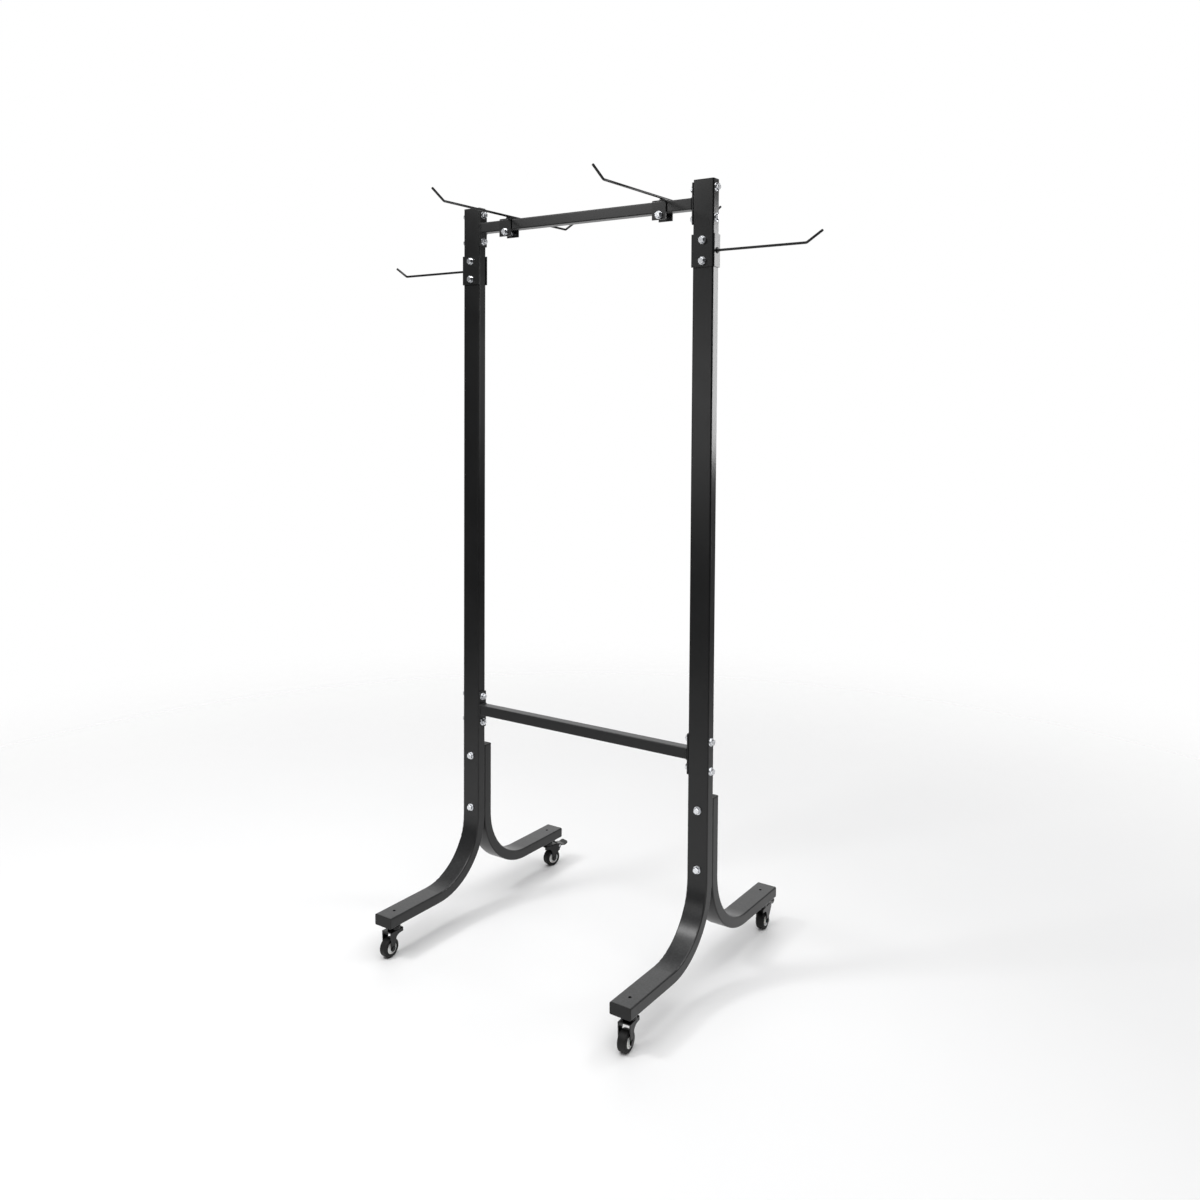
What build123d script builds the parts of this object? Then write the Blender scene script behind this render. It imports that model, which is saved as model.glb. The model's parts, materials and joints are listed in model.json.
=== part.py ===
from build123d import *
from math import cos, radians, sin
import os

# A mobile display rack of bolted rectangular steel tube on four swivel casters.
# Sizes are in millimetres. X runs along the crossbars, Y to the back and Z up. The origin is on
# the floor, midway between the uprights, in the plane where the uprights and rear legs meet.

# Overall layout
overall_height = 1756.0
upright_spacing = 650.0
foot_reach = 328.0
upper_bar_below_top = 50.0
lower_bar_height = 513.0
side_bracket_below_top = 152.0
saddle_spacing = 432.0

# Rectangular tube of the uprights, feet and rear legs
tube_wide = 50.0
tube_deep = 25.0
tube_wall = 1.5
tube_corner = 3.0
leg_bend_inside = 140.0
rear_leg_straight = 177.0

# Square tube of the crossbars and the plates welded on their ends
bar_side = 25.0
bar_wall = 1.5
bar_corner = 2.5
plate_tall = 90.0
plate_thick = 3.0
plate_corner = 2.0
plate_bolt_spacing = 64.0

# Plastic plugs in the open tube ends
cap_lip = 2.5
cap_lip_round = 1.0
cap_plug_length = 10.0
cap_plug_wall = 2.0
cap_plug_gap = 0.2

# Flanged hexagon bolts and nuts, M8
bolt_diameter = 8.0
bolt_hole_gap = 0.4
bolt_hex_flats = 13.0
bolt_head_height = 7.5
bolt_flange_diameter = 18.5
bolt_flange_height = 1.6
bolt_flange_slope = 20.0
bolt_end_beyond_nut = 2.0
bolt_end_chamfer = 0.8
bolt_hex_chamfer = 1.0
nut_height = 8.0
nut_thread_gap = 0.1
leg_bolt_above_bend = 21.5
leg_bolt_below_end = 22.0

# Folded steel brackets: saddles over the upper crossbar, and U-brackets round the uprights
strip_thick = 3.0
strip_inside_round = 1.5
strip_side_gap = 0.2
saddle_wide = 35.0
saddle_drop = 40.0
saddle_bolt_gap = 0.4
bracket_tall = 70.0
bracket_overlap = 1.5
bracket_bolt_spacing = 44.0

# Wire hooks welded to the brackets
wire_diameter = 5.5
wire_bend_radius = 9.0
wire_end_chamfer = 0.9
double_hook_reach = 230.0
double_hook_tip = 45.0
double_hook_rise_angle = 31.0
side_hook_reach = 207.0
side_hook_tip = 42.0
side_hook_rise_angle = 33.0
weld_pad_height = 3.8
weld_pad_wide = 9.0
weld_pad_long = 18.0
weld_pad_corner = 3.0
weld_pad_slope = 12.0
weld_collar_diameter = 12.0
weld_collar_length = 5.0

# Casters. In a caster's own frame the stem stands over the origin, +Y is the way the wheel
# trails and X is along the axle.
stem_inset = 36.0
foot_hole_diameter = 7.0
insert_diameter = 10.8
insert_hole_gap = 0.1
insert_flange_diameter = 15.0
insert_flange_thick = 1.0
insert_length = 15.0
stem_length = 18.0
stem_end_chamfer = 1.0
collar_diameter = 17.0
collar_height = 4.0
neck_diameter = 11.0
neck_height = 1.2
wheel_radius = 22.0
wheel_trail = 16.0
tyre_wide = 20.0
tyre_round = 4.0
tyre_inner_round = 0.8
hub_radius = 13.5
hub_bond_gap = 0.05
hub_rim = 2.2
hub_rim_half_wide = 9.4
hub_web_half_wide = 8.2
hub_boss_radius = 6.5
hub_boss_gap = 0.4
axle_diameter = 6.0
running_gap = 0.08
press_gap = 0.05
axle_head_diameter = 10.4
axle_head_height = 1.8
axle_head_round = 1.1
fork_inside = 24.0
fork_sheet = 2.2
fork_bend_round = 2.0
fork_crown_above_tyre = 14.5
fork_crown_thick = 2.5
fork_skirt = 9.0
fork_back = 15.0
fork_front_past_axle = 8.5
fork_eye_radius = 7.0
race_diameter = 30.0
race_height = 4.0
race_chamfer = 1.2
upper_race_height = 4.5
race_gap = 0.3
king_pin_diameter = 10.0
king_pin_head_diameter = 15.0
king_pin_head_height = 3.5
ball_diameter = 3.2
ball_circle_radius = 9.5
ball_groove_gap = 0.3
ball_count = 12

# Brake pedals on the rear casters
pedal_pin_past_axle = 18.0
pedal_pin_below_crown = 4.5
pedal_pin_diameter = 4.0
pedal_pin_head_diameter = 7.0
pedal_pin_head_height = 1.2
pedal_pin_head_round = 0.7
pedal_ear_radius = 5.5
pedal_ear_foot_in = 4.4
pedal_ear_foot_down = 3.3
pedal_ear_web_down = 22.0
pedal_side_gap = 0.4
pedal_boss_radius = 5.0
pedal_reach = 30.0
pedal_flare_start = 7.5
pedal_half_wide = 13.0
pedal_thick = 3.6
pedal_tip_rise = 4.0
pedal_sag = 2.2
pedal_corner = 5.0
pedal_shoe_gap = 0.6
pedal_shoe_wide = 4.0

# How far each caster has swivelled about its stem, in degrees from trailing straight back
# (rear casters) or straight forward (front casters)
caster_headings = {
    "front_left": 180.0,
    "front_right": 185.0,
    "rear_left": -16.0,
    "rear_right": 4.0,
}

# Worked-out places. The caster's heights stack up from the floor to the underside of the foot.
fork_crown_underside = 2 * wheel_radius + fork_crown_above_tyre
fork_crown_top = fork_crown_underside + fork_crown_thick
fork_skirt_bottom = fork_crown_top - fork_skirt
fork_front = wheel_trail + fork_front_past_axle
fork_channel_long = 2 * (fork_front + pedal_reach)
fork_half_wide = fork_inside / 2 + fork_sheet
fork_race_top = fork_crown_top + race_height
upper_race_bottom = fork_race_top + race_gap
collar_bottom = upper_race_bottom + upper_race_height + neck_height
collar_top = collar_bottom + collar_height
pedal_pin_y = wheel_trail + pedal_pin_past_axle
pedal_pin_z = fork_crown_underside - pedal_pin_below_crown
foot_underside = collar_top + insert_flange_thick
stem_reach = foot_reach - stem_inset
upright_x = upright_spacing / 2
tube_middle = tube_deep / 2
foot_middle = foot_underside + tube_deep / 2
foot_top = foot_underside + tube_deep
bend_middle_radius = leg_bend_inside + tube_deep / 2
bend_top = foot_top + leg_bend_inside
upright_end = overall_height - cap_lip
rear_leg_end = bend_top + rear_leg_straight - cap_lip
foot_end = foot_reach - cap_lip
bar_end = upright_x - tube_wide / 2 - plate_thick
bar_y = -tube_middle
bolt_hole_radius = bolt_diameter / 2 + bolt_hole_gap
bolt_tail = nut_height + bolt_end_beyond_nut
leg_bolt_heights = [bend_top + leg_bolt_above_bend, rear_leg_end - leg_bolt_below_end]
upper_bar_height = overall_height - upper_bar_below_top
side_bracket_height = overall_height - side_bracket_below_top
bar_heights = {"lower": lower_bar_height, "upper": upper_bar_height}
plate_bolt_heights = [
    height + half * plate_bolt_spacing / 2 for height in bar_heights.values() for half in (-1, 1)
]
bracket_bolt_heights = [side_bracket_height + half * bracket_bolt_spacing / 2 for half in (-1, 1)]
saddle_grip = bar_side + 2 * (strip_side_gap + strip_thick)
bracket_grip = tube_deep + 2 * (strip_side_gap + strip_thick)
upper_bar_top = upper_bar_height + bar_side / 2
saddle_top = upper_bar_top + strip_thick
saddle_bottom = upper_bar_top - saddle_drop
saddle_bolt_height = upper_bar_top - bar_side - saddle_bolt_gap - bolt_diameter / 2
double_hook_height = saddle_top + weld_pad_height + wire_diameter / 2
sides = {"left": -1, "right": 1}


os.makedirs("parts", exist_ok=True)


def keep(part, name):
    """Label a finished piece and write it as its own STEP file."""
    part.label = name
    export_step(part, f"parts/{name}.step")


def copies(piece, seats):
    """The same piece set on each of several planes, as separate solids of one node."""
    with BuildPart() as group:
        with Locations(*seats):
            add(piece)
    return group.part


def drills_along_y(places):
    """Pins as wide as the bolt holes, along Y at each (x, height), to cut from a part."""
    with BuildPart() as drills:
        with BuildSketch(Plane.XZ):
            with Locations(*places):
                Circle(bolt_hole_radius)
        extrude(amount=2 * tube_deep, both=True)
    return drills.part


def bent_leg(x, face, top, reach_end):
    """A tube that stands at x and bends at its foot, towards -Y for face -1 and +Y for +1."""
    drills = drills_along_y([(x, height) for height in leg_bolt_heights])
    with BuildPart() as leg:
        with BuildLine(Plane.YZ.offset(x)) as route:
            FilletPolyline(
                (face * tube_middle, top),
                (face * tube_middle, foot_middle),
                (face * reach_end, foot_middle),
                radius=bend_middle_radius,
            )
        with BuildSketch(Plane((x, face * tube_middle, top), x_dir=(1, 0, 0), z_dir=(0, 0, -1))):
            RectangleRounded(tube_wide, tube_deep, tube_corner)
            RectangleRounded(
                tube_wide - 2 * tube_wall,
                tube_deep - 2 * tube_wall,
                tube_corner - tube_wall,
                mode=Mode.SUBTRACT,
            )
        sweep(path=route.line)
        add(drills, mode=Mode.SUBTRACT)
        # Hole in the foot's top wall, and the wider one below it that holds the threaded insert
        with BuildSketch(Plane.XY.offset(foot_top)):
            with Locations((x, face * stem_reach)):
                Circle(foot_hole_diameter / 2)
        extrude(amount=-tube_deep / 2, mode=Mode.SUBTRACT)
        with BuildSketch(Plane.XY.offset(foot_underside)):
            with Locations((x, face * stem_reach)):
                Circle(insert_diameter / 2 + insert_hole_gap)
        extrude(amount=tube_deep / 2, mode=Mode.SUBTRACT)
    return leg.part


def folded_strip(plane, outside, legs, length):
    """Steel strip folded square round a tube: its base outside the plane's X, its legs to -Y."""
    with BuildPart() as strip:
        with BuildSketch(plane):
            with Locations((0, strip_thick)):
                Rectangle(outside, legs + strip_thick, align=(Align.CENTER, Align.MAX))
            fillet(vertices().group_by(Axis.Y)[-1], strip_thick + strip_inside_round)
            RectangleRounded(
                outside - 2 * strip_thick,
                2 * legs,
                strip_inside_round,
                align=(Align.CENTER, Align.MAX),
                mode=Mode.SUBTRACT,
            )
        extrude(amount=length / 2, both=True)
    return strip.part


def bent_wire(points):
    """Round wire along a list of points in space, its corners bent."""
    start = Vector(*points[0])
    heading = Vector(*points[1]) - start
    with BuildPart() as wire:
        with BuildLine() as route:
            FilletPolyline(*points, radius=wire_bend_radius)
        with BuildSketch(Plane(start, z_dir=heading)):
            Circle(wire_diameter / 2)
        sweep(path=route.line)
    return wire.part


# Uprights, each one tube with its front foot, and the rear legs bolted behind them
for side, sign in sides.items():
    x = sign * upright_x
    leg = bent_leg(x, -1, upright_end, foot_end)
    drills = drills_along_y([(x, height) for height in bracket_bolt_heights])
    with BuildPart() as upright:
        add(leg)
        add(drills, mode=Mode.SUBTRACT)
        # Holes along X for the crossbar bolts
        with BuildSketch(Plane.YZ.offset(x)):
            with Locations(*[(bar_y, height) for height in plate_bolt_heights]):
                Circle(bolt_hole_radius)
        extrude(amount=tube_wide, both=True, mode=Mode.SUBTRACT)
    keep(upright.part, f"{side}_upright")
    keep(bent_leg(x, 1, rear_leg_end, foot_end), f"{side}_rear_leg")

# Crossbars: square tube with a bolt plate welded on each end
for level, height in bar_heights.items():
    with BuildPart() as crossbar:
        with BuildSketch(Plane.YZ):
            with Locations((bar_y, height)):
                RectangleRounded(bar_side, bar_side, bar_corner)
                RectangleRounded(
                    bar_side - 2 * bar_wall,
                    bar_side - 2 * bar_wall,
                    bar_corner - bar_wall,
                    mode=Mode.SUBTRACT,
                )
        extrude(amount=bar_end, both=True)
    keep(crossbar.part, f"{level}_crossbar")

    with BuildPart() as end_plates:
        for sign in sides.values():
            with BuildSketch(Plane.YZ.offset(sign * bar_end)):
                with Locations((bar_y, height)):
                    RectangleRounded(tube_deep, plate_tall, plate_corner)
                    with GridLocations(0, plate_bolt_spacing, 1, 2):
                        Circle(bolt_hole_radius, mode=Mode.SUBTRACT)
            extrude(amount=sign * plate_thick)
    keep(end_plates.part, f"{level}_end_plates")

# Saddles: strip folded over the upper crossbar, drawn together by one bolt below the bar, each
# with a double-ended wire hook welded along its top
hook_rise = double_hook_tip * sin(radians(double_hook_rise_angle))
hook_run = double_hook_tip * cos(radians(double_hook_rise_angle))
for side, sign in sides.items():
    x = sign * saddle_spacing / 2
    over_bar = Plane((x, bar_y, upper_bar_top), x_dir=(0, 1, 0), z_dir=(1, 0, 0))
    strip = folded_strip(over_bar, saddle_grip, saddle_drop, saddle_wide)
    drills = drills_along_y([(x, saddle_bolt_height)])
    with BuildPart() as saddle:
        add(strip)
        add(drills, mode=Mode.SUBTRACT)
    keep(saddle.part, f"{side}_saddle")

    wire = bent_wire(
        [
            (x, bar_y - double_hook_reach - hook_run, double_hook_height + hook_rise),
            (x, bar_y - double_hook_reach, double_hook_height),
            (x, bar_y + double_hook_reach, double_hook_height),
            (x, bar_y + double_hook_reach + hook_run, double_hook_height + hook_rise),
        ]
    )
    with BuildPart() as double_hook:
        add(wire)
        chamfer(edges().filter_by(GeomType.CIRCLE).sort_by(Axis.Y)[0], wire_end_chamfer)
        chamfer(edges().filter_by(GeomType.CIRCLE).sort_by(Axis.Y)[-1], wire_end_chamfer)
        # The weld that lifts the wire off the saddle
        with BuildSketch(Plane.XY.offset(saddle_top)):
            with Locations((x, bar_y)):
                RectangleRounded(weld_pad_wide, weld_pad_long, weld_pad_corner)
        extrude(amount=weld_pad_height + wire_diameter / 4, taper=weld_pad_slope)
    keep(double_hook.part, f"{side}_double_hook")

# Side brackets: strip folded round each upright from outside, each with a single wire hook
tip_rise = side_hook_tip * sin(radians(side_hook_rise_angle))
tip_run = side_hook_tip * cos(radians(side_hook_rise_angle))
for side, sign in sides.items():
    x = sign * upright_x
    outer_face = sign * (upright_x + tube_wide / 2)
    round_upright = Plane(
        (outer_face, bar_y, side_bracket_height), x_dir=(0, -sign, 0), z_dir=(0, 0, 1)
    )
    strip = folded_strip(round_upright, bracket_grip, tube_wide + bracket_overlap, bracket_tall)
    drills = drills_along_y([(x, height) for height in bracket_bolt_heights])
    with BuildPart() as bracket:
        add(strip)
        add(drills, mode=Mode.SUBTRACT)
    keep(bracket.part, f"{side}_side_bracket")

    root = outer_face + sign * strip_thick
    bend = outer_face + sign * side_hook_reach
    wire = bent_wire(
        [
            (root, bar_y, side_bracket_height),
            (bend, bar_y, side_bracket_height),
            (bend + sign * tip_run, bar_y, side_bracket_height + tip_rise),
        ]
    )
    with BuildPart() as side_hook:
        add(wire)
        outward = Axis((0, 0, 0), (sign, 0, 0))
        chamfer(edges().filter_by(GeomType.CIRCLE).sort_by(outward)[-1], wire_end_chamfer)
        # The weld round the root of the wire
        with Locations(Plane((root, bar_y, side_bracket_height), z_dir=(sign, 0, 0))):
            Cone(
                weld_collar_diameter / 2,
                wire_diameter / 2,
                weld_collar_length,
                align=(Align.CENTER, Align.CENTER, Align.MIN),
            )
    keep(side_hook.part, f"{side}_side_hook")


def flange_bolt(grip):
    """A bolt whose head sits on the XY plane and whose shank runs down through the grip."""
    with BuildPart() as bolt:
        with BuildSketch():
            RegularPolygon(bolt_hex_flats / 2, 6, major_radius=False)
        extrude(amount=bolt_head_height)
        chamfer(faces().sort_by(Axis.Z)[-1].edges(), bolt_hex_chamfer)
        with BuildSketch():
            Circle(bolt_flange_diameter / 2)
        extrude(amount=bolt_flange_height, taper=bolt_flange_slope)
        with BuildSketch():
            Circle(bolt_diameter / 2)
        extrude(amount=-grip - bolt_tail)
        chamfer(faces().sort_by(Axis.Z)[0].edges(), bolt_end_chamfer)
    return bolt.part


with BuildPart() as flange_nut:
    with BuildSketch():
        RegularPolygon(bolt_hex_flats / 2, 6, major_radius=False)
    extrude(amount=nut_height)
    chamfer(faces().sort_by(Axis.Z)[-1].edges(), bolt_hex_chamfer)
    with BuildSketch():
        Circle(bolt_flange_diameter / 2)
    extrude(amount=bolt_flange_height, taper=bolt_flange_slope)
    with BuildSketch():
        Circle(bolt_diameter / 2 + nut_thread_gap)
    extrude(amount=nut_height, mode=Mode.SUBTRACT)


def fasten(name, grip, bolt_seats, nut_seats):
    """Write one set of bolts and the nuts on their far ends."""
    keep(copies(flange_bolt(grip), bolt_seats), f"{name}_bolts")
    keep(copies(flange_nut.part, nut_seats), f"{name}_nuts")


def facing(x, y, z, direction):
    """A seat at a point, its outward side along a direction."""
    return Plane((x, y, z), z_dir=direction)


front = (0, -1, 0)
back = (0, 1, 0)

# Bolts from the front through each upright into its rear leg
leg_places = [(sign * upright_x, height) for sign in sides.values() for height in leg_bolt_heights]
fasten(
    "leg",
    2 * tube_deep,
    [facing(x, -tube_deep, height, front) for x, height in leg_places],
    [facing(x, tube_deep, height, back) for x, height in leg_places],
)

# Bolts from the outside through each upright into the crossbars' end plates
plate_places = [(sign, height) for sign in sides.values() for height in plate_bolt_heights]
fasten(
    "crossbar",
    tube_wide + plate_thick,
    [
        facing(sign * (upright_x + tube_wide / 2), bar_y, height, (sign, 0, 0))
        for sign, height in plate_places
    ],
    [facing(sign * bar_end, bar_y, height, (-sign, 0, 0)) for sign, height in plate_places],
)

# Bolts from the front through the side brackets and the uprights
bracket_places = [
    (sign * upright_x, height) for sign in sides.values() for height in bracket_bolt_heights
]
fasten(
    "side_bracket",
    bracket_grip,
    [facing(x, bar_y - bracket_grip / 2, height, front) for x, height in bracket_places],
    [facing(x, bar_y + bracket_grip / 2, height, back) for x, height in bracket_places],
)

# Bolts through the saddles, just below the crossbar
saddle_places = [sign * saddle_spacing / 2 for sign in sides.values()]
fasten(
    "saddle",
    saddle_grip,
    [facing(x, bar_y - saddle_grip / 2, saddle_bolt_height, front) for x in saddle_places],
    [facing(x, bar_y + saddle_grip / 2, saddle_bolt_height, back) for x in saddle_places],
)

# Plastic caps: a lip as wide as the tube, and a hollow plug inside it
with BuildPart() as tube_cap:
    with BuildSketch():
        RectangleRounded(tube_wide, tube_deep, tube_corner)
    extrude(amount=cap_lip)
    fillet(faces().sort_by(Axis.Z)[-1].edges(), cap_lip_round)
    plug_wide = tube_wide - 2 * (tube_wall + cap_plug_gap)
    plug_deep = tube_deep - 2 * (tube_wall + cap_plug_gap)
    with BuildSketch():
        RectangleRounded(plug_wide, plug_deep, tube_corner - tube_wall)
        Rectangle(plug_wide - 2 * cap_plug_wall, plug_deep - 2 * cap_plug_wall, mode=Mode.SUBTRACT)
    extrude(amount=-cap_plug_length)


def cap_seat(x, y, z, direction):
    """A cap's seat on a tube end, with the tube's wide side along X."""
    return Plane((x, y, z), x_dir=(1, 0, 0), z_dir=direction)


upright_places = [sign * upright_x for sign in sides.values()]
keep(
    copies(tube_cap.part, [cap_seat(x, -tube_middle, upright_end, (0, 0, 1)) for x in upright_places]),
    "upright_caps",
)
keep(
    copies(tube_cap.part, [cap_seat(x, tube_middle, rear_leg_end, (0, 0, 1)) for x in upright_places]),
    "rear_leg_caps",
)
keep(
    copies(
        tube_cap.part,
        [cap_seat(x, y * foot_end, foot_middle, (0, y, 0)) for x in upright_places for y in (-1, 1)],
    ),
    "foot_caps",
)

# Threaded inserts in the feet, which the caster stems screw into
with BuildPart() as insert:
    with BuildSketch():
        Circle(insert_diameter / 2)
    extrude(amount=insert_length)
    with BuildSketch():
        Circle(insert_flange_diameter / 2)
    extrude(amount=-insert_flange_thick)
    with BuildSketch(Plane.XY.offset(-insert_flange_thick)):
        Circle(bolt_diameter / 2 + nut_thread_gap)
    extrude(amount=insert_flange_thick + insert_length, mode=Mode.SUBTRACT)
insert_seats = [
    Plane((x, y * stem_reach, foot_underside)) for x in upright_places for y in (-1, 1)
]
keep(copies(insert.part, insert_seats), "stem_inserts")


# The ring of space that the balls run in, cut from both races
with BuildPart() as ball_groove:
    with BuildSketch(Plane.XZ):
        with Locations((ball_circle_radius, (fork_race_top + upper_race_bottom) / 2)):
            Circle(ball_diameter / 2 + ball_groove_gap)
    revolve(axis=Axis.Z)


# Stem: the threaded stud, its collar, the upper ball race and the riveted king pin in one turning
with BuildPart() as stem:
    with BuildSketch(Plane.XY.offset(collar_top)):
        Circle(bolt_diameter / 2)
    extrude(amount=stem_length)
    chamfer(faces().sort_by(Axis.Z)[-1].edges(), stem_end_chamfer)
    with BuildSketch(Plane.XY.offset(collar_bottom)):
        Circle(collar_diameter / 2)
    extrude(amount=collar_height)
    with BuildSketch(Plane.XY.offset(upper_race_bottom)):
        Circle(race_diameter / 2)
    extrude(amount=upper_race_height)
    chamfer(
        faces().filter_by_position(
            Axis.Z, upper_race_bottom + upper_race_height, upper_race_bottom + upper_race_height
        ).edges(),
        race_chamfer,
    )
    with BuildSketch(Plane.XY.offset(upper_race_bottom)):
        Circle(neck_diameter / 2)
    extrude(amount=collar_bottom - upper_race_bottom)
    with BuildSketch(Plane.XY.offset(upper_race_bottom)):
        Circle(king_pin_diameter / 2)
    extrude(amount=fork_crown_underside - race_gap - king_pin_head_height - upper_race_bottom)
    with BuildSketch(Plane.XY.offset(fork_crown_underside - race_gap)):
        Circle(king_pin_head_diameter / 2)
    extrude(amount=-king_pin_head_height)
    chamfer(faces().sort_by(Axis.Z)[0].edges(), race_chamfer)
    add(ball_groove.part, mode=Mode.SUBTRACT)

# Balls between the two races
with BuildPart() as balls:
    with Locations((0, 0, (fork_race_top + upper_race_bottom) / 2)):
        with PolarLocations(ball_circle_radius, ball_count):
            Sphere(ball_diameter / 2)


def fork(braked):
    """Pressed steel fork: a crown with a ball race on top, and a leg each side of the wheel."""
    with BuildPart() as body:
        with BuildSketch(Plane.YZ):
            with BuildLine():
                Polyline(
                    (-fork_back, fork_skirt_bottom),
                    (-fork_back, fork_crown_top),
                    (fork_front, fork_crown_top),
                    (wheel_trail + fork_eye_radius, wheel_radius),
                    (wheel_trail - fork_eye_radius, wheel_radius),
                )
                Bezier(
                    (wheel_trail - fork_eye_radius, wheel_radius),
                    (wheel_trail - fork_eye_radius, 2 * wheel_radius),
                    (wheel_trail - fork_eye_radius, fork_skirt_bottom),
                    (-fork_back, fork_skirt_bottom),
                )
            make_face()
            with Locations((wheel_trail, wheel_radius)):
                Circle(fork_eye_radius)
            if braked:
                with Locations((pedal_pin_y, pedal_pin_z)):
                    Circle(pedal_ear_radius)
                Polygon(
                    (fork_front - fork_sheet, fork_crown_top),
                    (pedal_pin_y, pedal_pin_z + pedal_ear_radius),
                    (pedal_pin_y + pedal_ear_foot_in, pedal_pin_z - pedal_ear_foot_down),
                    (fork_front, pedal_pin_z - pedal_ear_web_down),
                    (fork_front - fork_sheet, pedal_pin_z),
                    align=None,
                )
        extrude(amount=fork_half_wide, both=True)
        bends = edges().filter_by(Axis.Y).group_by(Axis.Z)[-1]
        fillet(bends, fork_bend_round)
        # The channel between the legs, open in front of the crown
        with BuildSketch(Plane.XY):
            Rectangle(fork_inside, fork_channel_long)
        extrude(amount=fork_crown_underside, mode=Mode.SUBTRACT)
        with BuildSketch(Plane.XY):
            with Locations((0, fork_front)):
                Rectangle(fork_inside, pedal_reach, align=(Align.CENTER, Align.MIN))
        extrude(amount=fork_crown_top, mode=Mode.SUBTRACT)
        # The lower ball race, and the hole for the king pin
        with BuildSketch(Plane.XY.offset(fork_crown_top)):
            Circle(race_diameter / 2)
        extrude(amount=race_height)
        with BuildSketch(Plane.XY.offset(fork_crown_underside)):
            Circle(king_pin_diameter / 2 + running_gap)
        extrude(amount=fork_crown_thick + race_height, mode=Mode.SUBTRACT)
        add(ball_groove.part, mode=Mode.SUBTRACT)
        # Holes for the axle and, with a brake, for the pedal's pin
        with BuildSketch(Plane.YZ):
            with Locations((wheel_trail, wheel_radius)):
                Circle(axle_diameter / 2 + press_gap)
            if braked:
                with Locations((pedal_pin_y, pedal_pin_z)):
                    Circle(pedal_pin_diameter / 2 + press_gap)
        extrude(amount=2 * fork_inside, both=True, mode=Mode.SUBTRACT)
    return body.part


def rivet(y, z, diameter, head_diameter, head_height, head_round):
    """A pin across the fork at (y, z), headed over on both legs."""
    with BuildPart() as pin:
        with BuildSketch(Plane.YZ):
            with Locations((y, z)):
                Circle(diameter / 2)
        extrude(amount=fork_half_wide, both=True)
        for hand in (-1, 1):
            with BuildSketch(Plane.YZ.offset(hand * fork_half_wide)):
                with Locations((y, z)):
                    Circle(head_diameter / 2)
            extrude(amount=hand * head_height)
            outward = Axis((0, 0, 0), (hand, 0, 0))
            fillet(faces().sort_by(outward)[-1].edges(), head_round)
    return pin.part


def turned(half_outline):
    """A solid turned round the axle from half its section, given as (half width, radius)."""
    with BuildPart() as body:
        with BuildSketch(Plane.XZ.offset(-wheel_trail)):
            Polygon(
                *[(x, wheel_radius + radius) for x, radius in half_outline],
                *[(-x, wheel_radius + radius) for x, radius in reversed(half_outline)],
                align=None,
            )
        revolve(axis=Axis((0, wheel_trail, wheel_radius), (1, 0, 0)))
    return body.part


# Wheel: a moulded hub with a boss on the axle, a web and a rim, and a tyre bonded round it
boss_half_wide = fork_inside / 2 - hub_boss_gap
hub = turned(
    [
        (boss_half_wide, axle_diameter / 2 + running_gap),
        (boss_half_wide, hub_boss_radius),
        (hub_web_half_wide, hub_boss_radius),
        (hub_web_half_wide, hub_radius - hub_rim),
        (hub_rim_half_wide, hub_radius - hub_rim),
        (hub_rim_half_wide, hub_radius),
    ]
)
with BuildPart() as tyre:
    with BuildSketch(Plane.XZ.offset(-wheel_trail)):
        tyre_section = wheel_radius - hub_radius - hub_bond_gap
        with Locations((0, 2 * wheel_radius)):
            Rectangle(tyre_wide, tyre_section, align=(Align.CENTER, Align.MAX))
        fillet(vertices().group_by(Axis.Y)[-1], tyre_round)
        fillet(vertices().group_by(Axis.Y)[0], tyre_inner_round)
    revolve(axis=Axis((0, wheel_trail, wheel_radius), (1, 0, 0)))

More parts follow.
